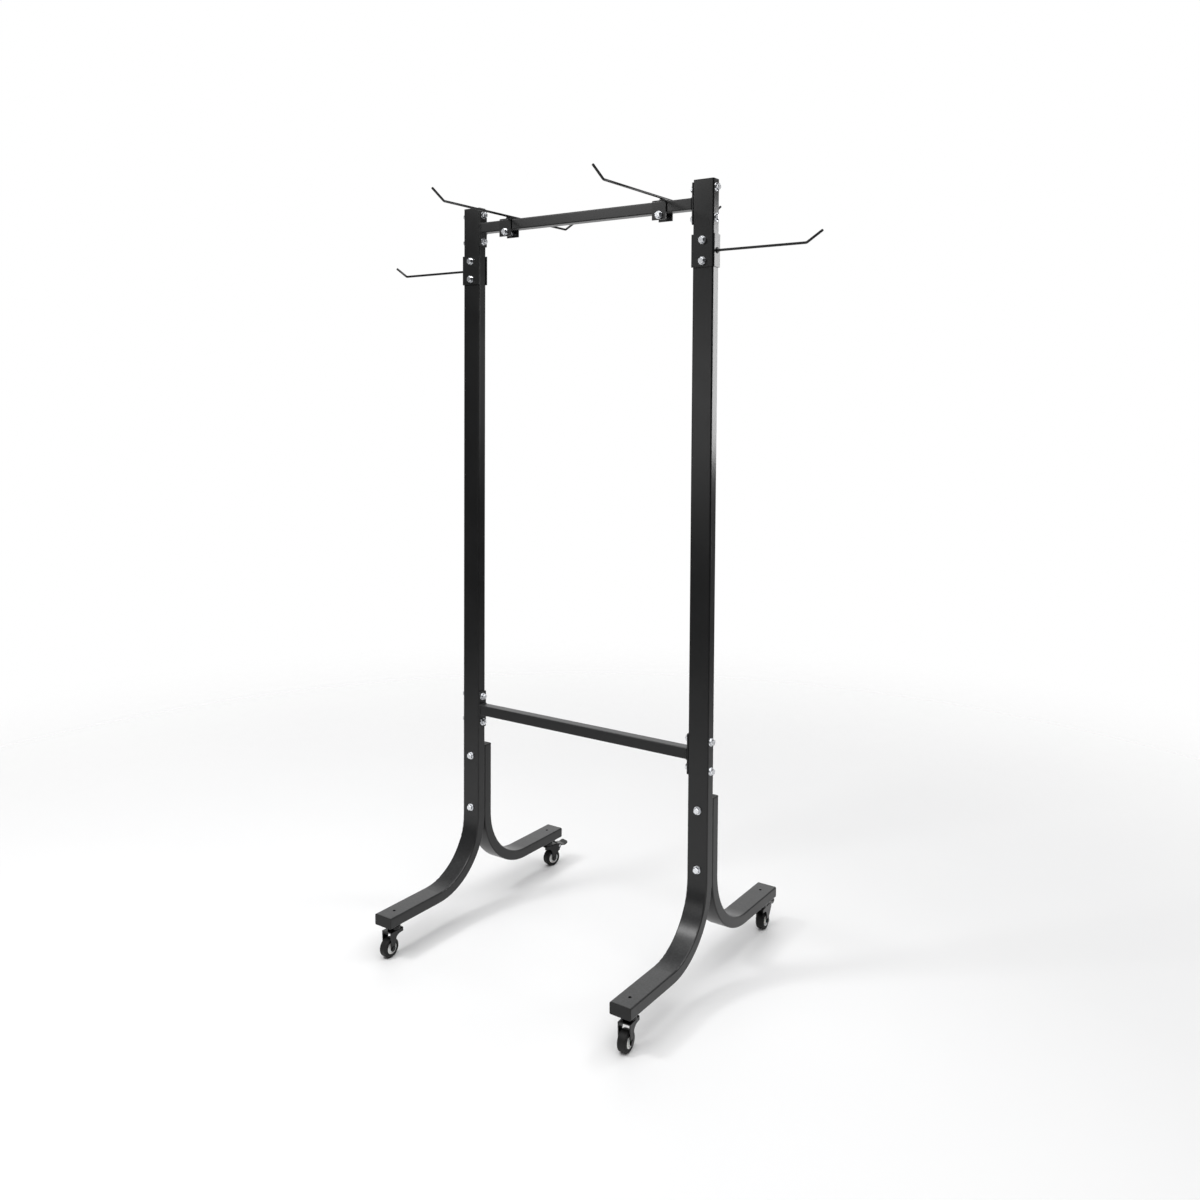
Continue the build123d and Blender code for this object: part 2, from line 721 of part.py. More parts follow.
# Brake pedal: a boss on its pin, a shoe over the tyre and a tread that flares past the fork
shoe_reach = (
    Vector(pedal_pin_past_axle, pedal_pin_z - wheel_radius).length
    - wheel_radius
    - pedal_shoe_gap
)
tread_start = pedal_pin_y + pedal_flare_start
tread_end = pedal_pin_y + pedal_reach
tread_sag = pedal_pin_z - pedal_sag
with BuildPart() as pedal:
    with BuildSketch(Plane.YZ):
        with BuildLine():
            Polyline(
                (pedal_pin_y, pedal_pin_z + pedal_boss_radius),
                (tread_start, pedal_pin_z + pedal_thick / 2),
                ((tread_start + tread_end) / 2, tread_sag + pedal_thick / 2),
                (tread_end, tread_sag + pedal_tip_rise + pedal_thick / 2),
                (tread_end, tread_sag + pedal_tip_rise - pedal_thick / 2),
                ((tread_start + tread_end) / 2, tread_sag - pedal_thick / 2),
                (tread_start, pedal_pin_z - pedal_thick / 2),
                (pedal_pin_y, pedal_pin_z - pedal_boss_radius),
                close=True,
            )
        make_face()
    extrude(amount=pedal_half_wide, both=True)
    fillet(edges().filter_by(Axis.Z).group_by(Axis.Y)[-1], pedal_corner)
    # Narrow between the fork's legs
    inner_half_wide = fork_inside / 2 - pedal_side_gap
    for hand in (-1, 1):
        with BuildSketch(Plane.XY.offset(pedal_pin_z - pedal_boss_radius)):
            with Locations((hand * inner_half_wide, tread_start)):
                Rectangle(
                    pedal_half_wide,
                    2 * pedal_flare_start,
                    align=(Align.MIN if hand > 0 else Align.MAX, Align.MAX),
                )
        extrude(amount=2 * pedal_boss_radius, mode=Mode.SUBTRACT)
    with BuildSketch(Plane.YZ):
        with Locations((pedal_pin_y, pedal_pin_z)):
            Circle(pedal_boss_radius)
            Rectangle(pedal_shoe_wide, shoe_reach, align=(Align.CENTER, Align.MAX))
    extrude(amount=inner_half_wide, both=True)
    with BuildSketch(Plane.YZ):
        with Locations((pedal_pin_y, pedal_pin_z)):
            Circle(pedal_pin_diameter / 2 + running_gap)
    extrude(amount=2 * pedal_half_wide, both=True, mode=Mode.SUBTRACT)

axle = rivet(
    wheel_trail,
    wheel_radius,
    axle_diameter,
    axle_head_diameter,
    axle_head_height,
    axle_head_round,
)
pedal_pin = rivet(
    pedal_pin_y,
    pedal_pin_z,
    pedal_pin_diameter,
    pedal_pin_head_diameter,
    pedal_pin_head_height,
    pedal_pin_head_round,
)

for corner, heading in caster_headings.items():
    end, side = corner.split("_")
    rear = end == "rear"
    centre = (sides[side] * upright_x, stem_reach if rear else -stem_reach, 0)
    turn = (cos(radians(heading)), sin(radians(heading)), 0)
    seat = Plane(centre, x_dir=turn)
    pieces = {"stem": stem.part, "balls": balls.part, "fork": fork(rear)}
    pieces |= {"axle": axle, "hub": hub, "tyre": tyre.part}
    if rear:
        pieces |= {"pedal": pedal.part, "pedal_pin": pedal_pin}
    for name, piece in pieces.items():
        keep(copies(piece, [seat]), f"{corner}_{name}")
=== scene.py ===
import json
from math import cos, pi, radians, sin

import bmesh
import bpy
from mathutils import Matrix, Vector


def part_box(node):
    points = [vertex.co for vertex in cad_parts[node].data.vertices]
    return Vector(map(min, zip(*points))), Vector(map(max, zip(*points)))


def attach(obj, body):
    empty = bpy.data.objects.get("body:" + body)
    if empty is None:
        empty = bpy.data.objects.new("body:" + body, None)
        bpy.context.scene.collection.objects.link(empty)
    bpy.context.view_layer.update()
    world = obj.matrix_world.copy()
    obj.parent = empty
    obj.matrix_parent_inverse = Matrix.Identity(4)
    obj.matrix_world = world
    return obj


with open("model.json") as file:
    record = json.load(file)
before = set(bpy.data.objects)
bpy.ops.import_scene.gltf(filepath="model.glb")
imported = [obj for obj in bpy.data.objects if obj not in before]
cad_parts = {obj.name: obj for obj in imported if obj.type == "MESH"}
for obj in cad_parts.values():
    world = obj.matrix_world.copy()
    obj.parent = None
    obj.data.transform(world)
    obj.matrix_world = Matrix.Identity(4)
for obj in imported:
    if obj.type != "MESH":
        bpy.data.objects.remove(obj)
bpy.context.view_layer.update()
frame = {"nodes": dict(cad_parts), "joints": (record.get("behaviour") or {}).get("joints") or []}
nodes = frame["nodes"]
sides = {"left": -1, "right": 1}
corners = ["front_left", "front_right", "rear_left", "rear_right"]


# Uprights and rear legs: cold-rolled rectangular steel tube, bent at the foot and stoved with a
# satin black powder coat, whose fine orange peel breaks up every reflection. Whatever faces up,
# most of all the feet, is mixed paler: partly dust, partly a painted sheen of light on the tops.
class Shade:
    """A socket in a material's nodes. Arithmetic on it adds Math nodes."""

    def __init__(self, tree, socket=None):
        self.tree = tree
        self.socket = socket

    def node(self, kind, settings, values, output=0):
        """Adds a node: its settings first, then the numbers or links of its sockets."""
        made = self.tree.nodes.new("ShaderNode" + kind)
        for name, value in settings.items():
            if name == "stops":
                for stop, (place, colour) in zip(made.color_ramp.elements, value):
                    stop.position = place
                    stop.color = colour
            else:
                setattr(made, name, value)
        for name, value in values.items():
            if isinstance(value, Shade):
                self.tree.links.new(value.socket, made.inputs[name])
            else:
                made.inputs[name].default_value = value
        return Shade(self.tree, made.outputs[output] if made.outputs else None)

    def maths(self, operation, first, second):
        return self.node("Math", {"operation": operation}, {0: first, 1: second})

    def __add__(self, other):
        return self.maths("ADD", self, other)

    def __radd__(self, other):
        return self.maths("ADD", other, self)

    def __mul__(self, other):
        return self.maths("MULTIPLY", self, other)

    def __rmul__(self, other):
        return self.maths("MULTIPLY", other, self)


def begin_finish(name):
    """An empty material, and a Shade that adds nodes to it."""
    material = bpy.data.materials.new(name)
    material.use_nodes = True
    material.node_tree.nodes.clear()
    return material, Shade(material.node_tree)


def end_finish(material, shade, values):
    """Gives a material one surface with these values, and links it to the output."""
    surface = shade.node("BsdfPrincipled", {}, values)
    shade.node("OutputMaterial", {}, {"Surface": surface})
    return material


def place_on(shade):
    """Where a point lies on its own piece, in metres."""
    return shade.node("TexCoord", {}, {}, "Object")


def grain(shade, place, size, detail=3.0, roughness=0.5):
    """Soft random mottling, with patches about one size across, in metres."""
    values = {"Vector": place, "Scale": 1 / size, "Detail": detail, "Roughness": roughness}
    return shade.node("TexNoise", {}, values, "Fac")


def blended(shade, share, first, second):
    """Two colours, each three numbers or a Shade, mixed by a share."""
    settings = {"data_type": "RGBA", "clamp_factor": True}
    first, second = [c if isinstance(c, Shade) else (*c, 1) for c in (first, second)]
    return shade.node("Mix", settings, {0: share, 6: first, 7: second}, 2)


def relief(shade, height, depth, strength):
    """A Bump node over a height that runs from 0 to 1, depth metres tall."""
    values = {"Height": height, "Distance": depth, "Strength": strength}
    return shade.node("Bump", {}, values)


def facing_up(shade):
    """How far a surface faces up, from 0 on a side to 1 on a level top."""
    normal = shade.node("NewGeometry", {}, {}, "Normal")
    rise = shade.node("SeparateXYZ", {}, {0: normal}, 2)
    return shade.node("Math", {"operation": "MAXIMUM"}, {0: rise, 1: 0.0})


coat_black = (0.0050, 0.0051, 0.0053)
coat_worn = (0.0125, 0.0128, 0.0132)
# Pale grey for up-facing faces: partly dust, partly a painted sheen of light
coat_dust_and_sheen = (0.105, 0.106, 0.108)
coat_cloud_size = 0.09
coat_speck_size = 0.0035
coat_peel_size = 0.0011
coat_peel_depth = 0.000035
coat_peel_strength = 0.55
coat_roughness = 0.30
coat_cloud_roughness = 0.10
coat_speck_roughness = 0.05
coat_gloss = 0.40
dust_and_sheen_fleck_size = 0.005
dust_and_sheen_drift_size = 0.03
dust_and_sheen_fleck_share = 0.75
dust_and_sheen_drift_share = 0.15


def powder_coat(name, roughness, dusty_and_sheened):
    """The rack's black coat, at a mean roughness, and when asked paler where it faces up: dust and a
    painted sheen.
    """
    material, shade = begin_finish(name)
    place = place_on(shade)
    clouds = grain(shade, place, coat_cloud_size)
    specks = grain(shade, place, coat_speck_size, detail=5.0, roughness=0.7)
    peel = grain(shade, place, coat_peel_size, detail=2.0)
    colour = blended(shade, clouds * 0.6 + specks * 0.4, coat_black, coat_worn)
    # Faces that point up are mixed paler: partly dust, partly a painted sheen of light on the tops
    if dusty_and_sheened:
        dust_and_sheen_flecks = grain(shade, place, dust_and_sheen_fleck_size, detail=4.0, roughness=0.75)
        dust_and_sheen_drifts = grain(shade, place, dust_and_sheen_drift_size, detail=6.0, roughness=0.65)
        dust_and_sheen_share = dust_and_sheen_flecks * dust_and_sheen_flecks * dust_and_sheen_fleck_share + dust_and_sheen_drifts * dust_and_sheen_drift_share
        colour = blended(shade, facing_up(shade) * dust_and_sheen_share, colour, coat_dust_and_sheen)
    smoothest = roughness - (coat_cloud_roughness + coat_speck_roughness) / 2
    spread = clouds * coat_cloud_roughness + specks * coat_speck_roughness
    values = {
        "Base Color": colour,
        "Roughness": spread + smoothest,
        "Normal": relief(shade, peel, coat_peel_depth, coat_peel_strength),
        "Specular IOR Level": coat_gloss,
    }
    return end_finish(material, shade, values)


def finish_with(material, names):
    """Gives CAD nodes a material of their own in place of the plain one."""
    for name in names:
        nodes[name].data.materials.clear()
        nodes[name].data.materials.append(material)


satin_coat = powder_coat("satin_powder_coat", coat_roughness, dusty_and_sheened=True)
finish_with(satin_coat, [f"{side}_{part}" for side in sides for part in ("upright", "rear_leg")])


# Tube caps: black polyethylene plugs pressed into the open ends. They are a little duller than
# the coat round them, with the fine spark-eroded texture of their mould.
cap_black = (0.0045, 0.0045, 0.0045)
cap_scuffed = (0.016, 0.016, 0.016)
cap_pit_size = 0.0007
cap_pit_depth = 0.00005
cap_scuff_size = 0.011
cap_roughness = 0.46
cap_scuff_roughness = 0.12
cap_gloss = 0.35
material, shade = begin_finish("moulded_polyethylene")
place = place_on(shade)
pits = grain(shade, place, cap_pit_size, detail=4.0, roughness=0.6)
scuffs = grain(shade, place, cap_scuff_size, detail=6.0, roughness=0.7)
values = {
    "Base Color": blended(shade, scuffs * scuffs, cap_black, cap_scuffed),
    "Roughness": scuffs * cap_scuff_roughness + cap_roughness,
    "Normal": relief(shade, pits, cap_pit_depth, strength=0.6),
    "Specular IOR Level": cap_gloss,
}
end_finish(material, shade, values)
finish_with(material, ["upright_caps", "rear_leg_caps", "foot_caps"])


# Crossbars: square steel tube with a flat bolt plate welded on each end, under the same coat. A
# rippled fillet weld runs round the tube where it meets each plate.
bar_roughness = 0.36
bar_coat = powder_coat("crossbar_powder_coat", bar_roughness, dusty_and_sheened=True)
bars = ["upper", "lower"]
finish_with(bar_coat, [f"{bar}_{part}" for bar in bars for part in ("crossbar", "end_plates")])

bead_radius = 0.0016
bead_sides = 10
bead_ripple = 0.14
bead_ripple_length = 0.0022
bead_step = 0.0005
bead_seat = 0.6
bead_end_size = 0.12
bead_end_fullness = 0.35


def new_piece(name, vertices, faces, material, body):
    """A smooth-shaded mesh that rides on a body and takes its finish from a slot."""
    mesh = bpy.data.meshes.new(name)
    mesh.from_pydata(vertices, [], faces)
    mesh.polygons.foreach_set("use_smooth", [True] * len(mesh.polygons))
    mesh.materials.append(material)
    piece = bpy.data.objects.new(name, mesh)
    bpy.context.scene.collection.objects.link(piece)
    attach(piece, body)
    return piece


def joined_rings(rings, closed):
    """Vertices and faces of a tube through rings of points, capped where it is open."""
    count = len(rings[0])
    vertices = [point for ring in rings for point in ring]
    faces = []
    for row in range(len(rings) if closed else len(rings) - 1):
        near = row * count
        far = (row + 1) % len(rings) * count
        for turn in range(count):
            after = (turn + 1) % count
            faces.append((near + turn, near + after, far + after, far + turn))
    if not closed:
        faces.append(tuple(reversed(range(count))))
        faces.append(tuple(range(len(vertices) - count, len(vertices))))
    return vertices, faces


def weld_bead(name, route, closed, radius, material):
    """A rippled bead of weld along a route of close points."""
    rings = []
    travelled = 0.0
    last = len(route) - 1
    for index, point in enumerate(route):
        before = route[index - 1] if closed or index else point
        after = route[(index + 1) % len(route)] if closed or index < last else point
        along = (after - before).normalized()
        # A fixed direction well off the bead's own keeps its section from twisting
        steady = Vector((1, 0, 0)) if abs(along.x) < 0.9 else Vector((0, 0, 1))
        side = along.cross(steady).normalized()
        over = side.cross(along)
        if index:
            travelled += (point - route[index - 1]).length
        swell = 1 + bead_ripple * sin(2 * pi * travelled / bead_ripple_length)
        if not closed:
            # An open bead tapers at both ends
            taper = sin(pi * (index + 0.5) / len(route))
            swell *= max(bead_end_size, taper) ** bead_end_fullness
        turns = [2 * pi * step / bead_sides for step in range(bead_sides)]
        rings.append([point + radius * swell * (side * cos(a) + over * sin(a)) for a in turns])
    vertices, faces = joined_rings(rings, closed)
    return new_piece(name, vertices, faces, material, "frame_body")


def square_route(x, low, high, corner):
    """Points round a square tube at x, its corners rounded."""
    route = []
    centres = [
        (high.y - corner, high.z - corner, 0),
        (low.y + corner, high.z - corner, 90),
        (low.y + corner, low.z + corner, 180),
        (high.y - corner, low.z + corner, 270),
    ]
    for number, (y, z, start) in enumerate(centres):
        for step in range(bar_corner_steps + 1):
            angle = radians(start + 90 * step / bar_corner_steps)
            route.append(Vector((x, y + corner * cos(angle), z + corner * sin(angle))))
        end = route[-1]
        next_y, next_z, next_start = centres[(number + 1) % 4]
        angle = radians(next_start)
        goal = Vector((x, next_y + corner * cos(angle), next_z + corner * sin(angle)))
        steps = int((goal - end).length / bead_step)
        route += [end.lerp(goal, step / steps) for step in range(1, steps)]
    return route


bar_corner = 0.0025
bar_corner_steps = 6
for bar in bars:
    low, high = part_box(f"{bar}_crossbar")
    for side, sign in sides.items():
        x = sign * (high.x - bead_seat * bead_radius)
        route = square_route(x, low, high, bar_corner)
        weld_bead(f"{bar}_{side}_bar_weld", route, True, bead_radius, bar_coat)


# Saddles and side brackets: strip folded in a press brake, then powder coated. The folds and cut
# edges take a thinner coat, so they are smoother and catch the light.
strip_roughness = 0.30
strip_coat = powder_coat("strip_powder_coat", strip_roughness, dusty_and_sheened=False)
finish_with(strip_coat, [f"{side}_{part}" for side in sides for part in ("saddle", "side_bracket")])


# Hooks: round drawn wire, bent cold with its tip turned up, and welded to its bracket before the
# coat goes on. The coat is glossier on the wire and shows the weld's ripples.
wire_roughness = 0.24
wire_coat = powder_coat("wire_powder_coat", wire_roughness, dusty_and_sheened=False)
finish_with(wire_coat, [f"{side}_{part}" for side in sides for part in ("double_hook", "side_hook")])

pad_half_wide = 0.0040
pad_bead_half_long = 0.0080
pad_bead_lift = 0.0006
collar_bead_radius = 0.0056
collar_bead_lift = 0.0005
wire_bead_radius = 0.0011
for side, sign in sides.items():
    low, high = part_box(f"{side}_saddle")
    middle = (low + high) / 2
    for hand, across in sides.items():
        x = middle.x + across * pad_half_wide
        steps = int(2 * pad_bead_half_long / bead_step)
        z = high.z + pad_bead_lift
        route = [
            Vector((x, middle.y + pad_bead_half_long * (2 * step / steps - 1), z))
            for step in range(steps + 1)
        ]
        name = f"{side}_saddle_weld_{hand}"
        weld_bead(name, route, False, wire_bead_radius, wire_coat)

    low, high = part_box(f"{side}_side_bracket")
    face = (high.x if sign > 0 else low.x) + sign * collar_bead_lift
    middle = (low + high) / 2
    steps = int(2 * pi * collar_bead_radius / bead_step)
    route = []
    for step in range(steps):
        angle = 2 * pi * step / steps
        y = middle.y + collar_bead_radius * cos(angle)
        z = middle.z + collar_bead_radius * sin(angle)
        route.append(Vector((face, y, z)))
    weld_bead(f"{side}_hook_weld", route, True, wire_bead_radius, wire_coat)


# Bolts, nuts and inserts: cold-headed steel with a plain flange, plated in bright zinc. The
# plate is silver with a faint blue cast, and is slightly uneven from the barrel it was done in.
zinc_bright = (0.90, 0.91, 0.93)
zinc_dull = (0.62, 0.64, 0.67)
zinc_bloom_size = 0.004
zinc_ding_size = 0.0009
zinc_ding_depth = 0.00004
zinc_roughness = 0.20
zinc_bloom_roughness = 0.16
material, shade = begin_finish("bright_zinc_plate")
place = place_on(shade)
bloom = grain(shade, place, zinc_bloom_size, detail=5.0, roughness=0.6)
dings = grain(shade, place, zinc_ding_size, roughness=0.6)
values = {
    "Base Color": blended(shade, bloom, zinc_dull, zinc_bright),
    "Metallic": 1.0,
    "Roughness": bloom * zinc_bloom_roughness + zinc_roughness,
    "Normal": relief(shade, dings, zinc_ding_depth, strength=0.35),
}
zinc = end_finish(material, shade, values)
bolted = ["leg", "crossbar", "side_bracket", "saddle"]
finish_with(zinc, [f"{joint}_{part}" for joint in bolted for part in ("bolts", "nuts")])
finish_with(zinc, ["stem_inserts"])

thread_pitch = 0.00125
thread_root = 0.0039
thread_crest = 0.00425
thread_flank = 0.00052
thread_steps = 20
thread_gap = 0.0004
thread_runout_steps = 6
same_point = 1e-6


def solid_boxes(name):
    """The lowest and highest corner of each separate solid in a node."""
    shape = bmesh.new()
    shape.from_mesh(nodes[name].data)
    bmesh.ops.remove_doubles(shape, verts=shape.verts, dist=same_point)
    seen = set()
    boxes = []
    for first in shape.verts:
        if first in seen:
            continue
        seen.add(first)
        found = [first]
        for vertex in found:
            for edge in vertex.link_edges:
                other = edge.other_vert(vertex)
                if other not in seen:
                    seen.add(other)
                    found.append(other)
        places = [vertex.co for vertex in found]
        low = Vector([min(place[axis] for place in places) for axis in range(3)])
        high = Vector([max(place[axis] for place in places) for axis in range(3)])
        boxes.append((low, high))
    shape.free()
    return boxes


def thread_ridge(start, along, length):
    """Rings of points for one helical ridge that climbs from start."""
    steady = Vector((0, 0, 1))
    side = along.cross(steady).normalized()
    rings = []
    count = int(length / thread_pitch * thread_steps)
    for step in range(count + 1):
        angle = 2 * pi * step / thread_steps
        out = side * cos(angle) + steady * sin(angle)
        place = start + along * (thread_pitch * step / thread_steps)
        # The ridge runs out to nothing at both ends
        share = min(1.0, step / thread_runout_steps, (count - step) / thread_runout_steps)
        crest = thread_root + (thread_crest - thread_root) * share
        rings.append(
            [
                place + out * thread_root - along * thread_flank,
                place + out * crest,
                place + out * thread_root + along * thread_flank,
            ]
        )
    return rings


def threaded_lengths(joint):
    """Where each bolt's thread shows, as a start, a direction and a length."""
    nut_boxes = solid_boxes(f"{joint}_nuts")
    nuts = [(low + high) / 2 for low, high in nut_boxes]
    nut_low, nut_high = nut_boxes[0]
    for low, high in solid_boxes(f"{joint}_bolts"):
        size = high - low
        axis = max(range(3), key=lambda number: size[number])
        middle = (low + high) / 2
        nut = min(nuts, key=lambda place: (place - middle).length)
        hand = 1 if nut[axis] > middle[axis] else -1
        along = Vector([hand if number == axis else 0 for number in range(3)])
        tip = middle + along * size[axis] / 2
        nut_face = nut + along * (nut_high - nut_low)[axis] / 2
        tail = (tip - nut_face).length - 2 * thread_gap
        yield nut_face + along * (thread_gap + thread_flank), along, tail - 2 * thread_flank
        if joint == "saddle":
            # The bolt also crosses the gap between the saddle's legs, under the crossbar
            bar_low, bar_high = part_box("upper_crossbar")
            start = Vector((middle.x, (bar_low.y + bar_high.y) / 2, middle.z))
            half = (bar_high.y - bar_low.y) / 2 - thread_flank - thread_gap
            yield start - along * half, along, 2 * half


for joint in bolted:
    vertices = []
    faces = []
    for start, along, length in threaded_lengths(joint):
        first = len(vertices)
        ridge, sides_of_ridge = joined_rings(thread_ridge(start, along, length), False)
        vertices += ridge
        faces += [tuple(first + number for number in face) for face in sides_of_ridge]
    new_piece(f"{joint}_bolt_threads", vertices, faces, zinc, "frame_body")


# Casters: a fork and stem pressed and turned from steel, stoved in gloss black, with a bonded
# rubber tyre on a white moulded hub. The axle is a rivet, headed over and stoved with the fork.
enamel_black = (0.0035, 0.0035, 0.0037)
enamel_thin = (0.0085, 0.0085, 0.0090)
enamel_flow_size = 0.006
enamel_flow_depth = 0.00010
enamel_roughness = 0.14
enamel_flow_roughness = 0.08
enamel_gloss = 0.32
material, shade = begin_finish("gloss_black_enamel")
place = place_on(shade)
flow = grain(shade, place, enamel_flow_size)
values = {
    "Base Color": blended(shade, flow, enamel_black, enamel_thin),
    "Roughness": flow * enamel_flow_roughness + enamel_roughness,
    "Normal": relief(shade, flow, enamel_flow_depth, strength=0.3),
    "Specular IOR Level": enamel_gloss,
}
enamel = end_finish(material, shade, values)
finish_with(enamel, [f"{corner}_{part}" for corner in corners for part in ("fork", "stem", "axle")])

steel_dark = (0.30, 0.30, 0.31)
steel_light = (0.55, 0.55, 0.56)
steel_stroke_size = 0.0011
steel_stroke_depth = 0.00003
steel_roughness = 0.14
steel_stroke_roughness = 0.15
material, shade = begin_finish("rivet_and_ball_steel")
place = place_on(shade)
strokes = grain(shade, place, steel_stroke_size, detail=4.0, roughness=0.6)
values = {
    "Base Color": blended(shade, strokes, steel_dark, steel_light),
    "Metallic": 1.0,
    "Roughness": strokes * steel_stroke_roughness + steel_roughness,
    "Normal": relief(shade, strokes, steel_stroke_depth, strength=0.3),
}
steel = end_finish(material, shade, values)
finish_with(steel, [f"{corner}_balls" for corner in corners])

rubber_black = (0.0045, 0.0045, 0.0045)
rubber_dusty = (0.022, 0.0215, 0.021)
rubber_skin_size = 0.0012
rubber_skin_depth = 0.00009
rubber_grime_size = 0.007
rubber_roughness = 0.52
rubber_skin_roughness = 0.12
rubber_gloss = 0.3
material, shade = begin_finish("tyre_rubber")
place = place_on(shade)
skin = grain(shade, place, rubber_skin_size, detail=5.0, roughness=0.65)
grime = grain(shade, place, rubber_grime_size, detail=5.0, roughness=0.6)
values = {
    "Base Color": blended(shade, grime * grime, rubber_black, rubber_dusty),
    "Roughness": skin * rubber_skin_roughness + rubber_roughness,
    "Normal": relief(shade, skin, rubber_skin_depth, strength=0.5),
    "Specular IOR Level": rubber_gloss,
}
rubber = end_finish(material, shade, values)
finish_with(rubber, [f"{corner}_tyre" for corner in corners])

nylon_white = (0.90, 0.90, 0.89)
nylon_shaded = (0.80, 0.80, 0.78)
nylon_mottle_size = 0.005
nylon_mottle_depth = 0.00005
nylon_roughness = 0.34
nylon_mottle_roughness = 0.10
nylon_milkiness = 0.05
material, shade = begin_finish("moulded_white_nylon")
place = place_on(shade)
mottle = grain(shade, place, nylon_mottle_size)
values = {
    "Base Color": blended(shade, mottle, nylon_shaded, nylon_white),
    "Roughness": mottle * nylon_mottle_roughness + nylon_roughness,
    "Normal": relief(shade, mottle, nylon_mottle_depth, strength=0.3),
    "Subsurface Weight": nylon_milkiness,
}
nylon = end_finish(material, shade, values)
finish_with(nylon, [f"{corner}_hub" for corner in corners])

tyre_rib_radius = 0.0175
tyre_rib_size = 0.0004
tyre_rib_out = 0.0100
tyre_rib_steps = 72
tyre_rib_sides = 8
hub_rib_count = 6
hub_rib_inner = 0.0066
hub_rib_outer = 0.0112
hub_rib_half_wide = 0.0006
hub_rib_low = 0.0080
hub_rib_high = 0.0091
hub_rib_taper = 0.6
hub_rib_rounding = 0.00015
rib_faces = [(3, 2, 1, 0), (4, 5, 6, 7), (0, 1, 5, 4), (1, 2, 6, 5), (2, 3, 7, 6), (3, 0, 4, 7)]


def wheel_axes(corner):
    """A wheel's centre, its axle's direction and two directions across the axle."""
    roll = next(joint for joint in frame["joints"] if joint["name"] == f"{corner}_roll")
    axle = Vector(roll["axis"]).normalized()
    up = Vector((0, 0, 1))
    return Vector(roll["pos_m"]), axle, up.cross(axle), up


for corner in corners:
    centre, axle, ahead, up = wheel_axes(corner)
    body = f"{corner}_wheel_body"
    for side, sign in sides.items():
        rings = []
        for step in range(tyre_rib_steps):
            angle = 2 * pi * step / tyre_rib_steps
            spoke = ahead * cos(angle) + up * sin(angle)
            middle = centre + spoke * tyre_rib_radius + axle * sign * tyre_rib_out
            turns = [2 * pi * turn / tyre_rib_sides for turn in range(tyre_rib_sides)]
            rings.append([middle + tyre_rib_size * (spoke * cos(a) + axle * sin(a)) for a in turns])
        vertices, faces = joined_rings(rings, True)
        name = f"{corner}_tyre_rib_{side}"
        new_piece(name, vertices, faces, rubber, body)

        vertices = []
        faces = []
        for rib in range(hub_rib_count):
            angle = 2 * pi * rib / hub_rib_count
            spoke = ahead * cos(angle) + up * sin(angle)
            across = axle.cross(spoke)
            first = len(vertices)
            for out in (hub_rib_low, hub_rib_high):
                # Moulded ribs narrow towards their top so that they leave the mould
                half = hub_rib_half_wide * (1.0 if out == hub_rib_low else hub_rib_taper)
                base = [(hub_rib_inner, -1), (hub_rib_inner, 1), (hub_rib_outer, 1), (hub_rib_outer, -1)]
                for reach, hand in base:
                    vertices.append(centre + spoke * reach + across * hand * half + axle * sign * out)
            faces += [tuple(first + number for number in face) for face in rib_faces]
        piece = new_piece(f"{corner}_hub_ribs_{side}", vertices, faces, nylon, body)
        rounding = piece.modifiers.new("rounding", "BEVEL")
        rounding.width = hub_rib_rounding
        rounding.segments = 2


# Brake pedals: pressed steel treads on a riveted pin, on the rear casters only. Shoes have worn
# their top face a little paler than the fork's enamel.
pedal_black = (0.012, 0.012, 0.012)
pedal_worn = (0.075, 0.075, 0.076)
pedal_wear_size = 0.006
pedal_wear_depth = 0.00008
pedal_roughness = 0.18
pedal_wear_roughness = 0.25
material, shade = begin_finish("worn_pedal_enamel")
place = place_on(shade)
wear = grain(shade, place, pedal_wear_size, detail=6.0, roughness=0.7) * facing_up(shade)
values = {
    "Base Color": blended(shade, wear, pedal_black, pedal_worn),
    "Roughness": wear * pedal_wear_roughness + pedal_roughness,
    "Normal": relief(shade, wear, pedal_wear_depth, strength=0.4),
}
end_finish(material, shade, values)
braked = [corner for corner in corners if corner.startswith("rear")]
finish_with(material, [f"{corner}_pedal" for corner in braked])
finish_with(steel, [f"{corner}_pedal_pin" for corner in braked])


# Studio: a plain pale floor that fades into a white background, a bright backdrop behind the rack
# and a broad light overhead. Soft panels beside, in front and high on the left draw the highlights
# down the tubes.
floor_radius = 4.0
floor_fade_start = 1.1
floor_fade_end = 3.4
floor_sides = 48
floor_pale = (0.90, 0.90, 0.90)
floor_shaded = (0.86, 0.86, 0.865)
floor_mottle_size = 0.8
floor_roughness = 0.5
floor_gloss = 0.3
material, shade = begin_finish("pale_floor")
place = place_on(shade)
distance = shade.node("VectorMath", {"operation": "LENGTH"}, {0: place}, 1)
settings = {"interpolation_type": "SMOOTHSTEP"}
values = {"Value": distance, "From Min": floor_fade_start, "From Max": floor_fade_end}
fade = shade.node("MapRange", settings, values)
mottle = grain(shade, place, floor_mottle_size)
values = {
    "Base Color": blended(shade, mottle, floor_shaded, floor_pale),
    "Roughness": floor_roughness,
    "Specular IOR Level": floor_gloss,
}
solid = shade.node("BsdfPrincipled", {}, values)
clear = shade.node("BsdfTransparent", {}, {})
surface = shade.node("MixShader", {}, {0: fade, 1: solid, 2: clear})
shade.node("OutputMaterial", {}, {"Surface": surface})
mesh = bpy.data.meshes.new("floor")
shape = bmesh.new()
bmesh.ops.create_circle(shape, cap_ends=True, segments=floor_sides, radius=floor_radius)
shape.to_mesh(mesh)
shape.free()
mesh.materials.append(material)
floor = bpy.data.objects.new("floor", mesh)
bpy.context.scene.collection.objects.link(floor)

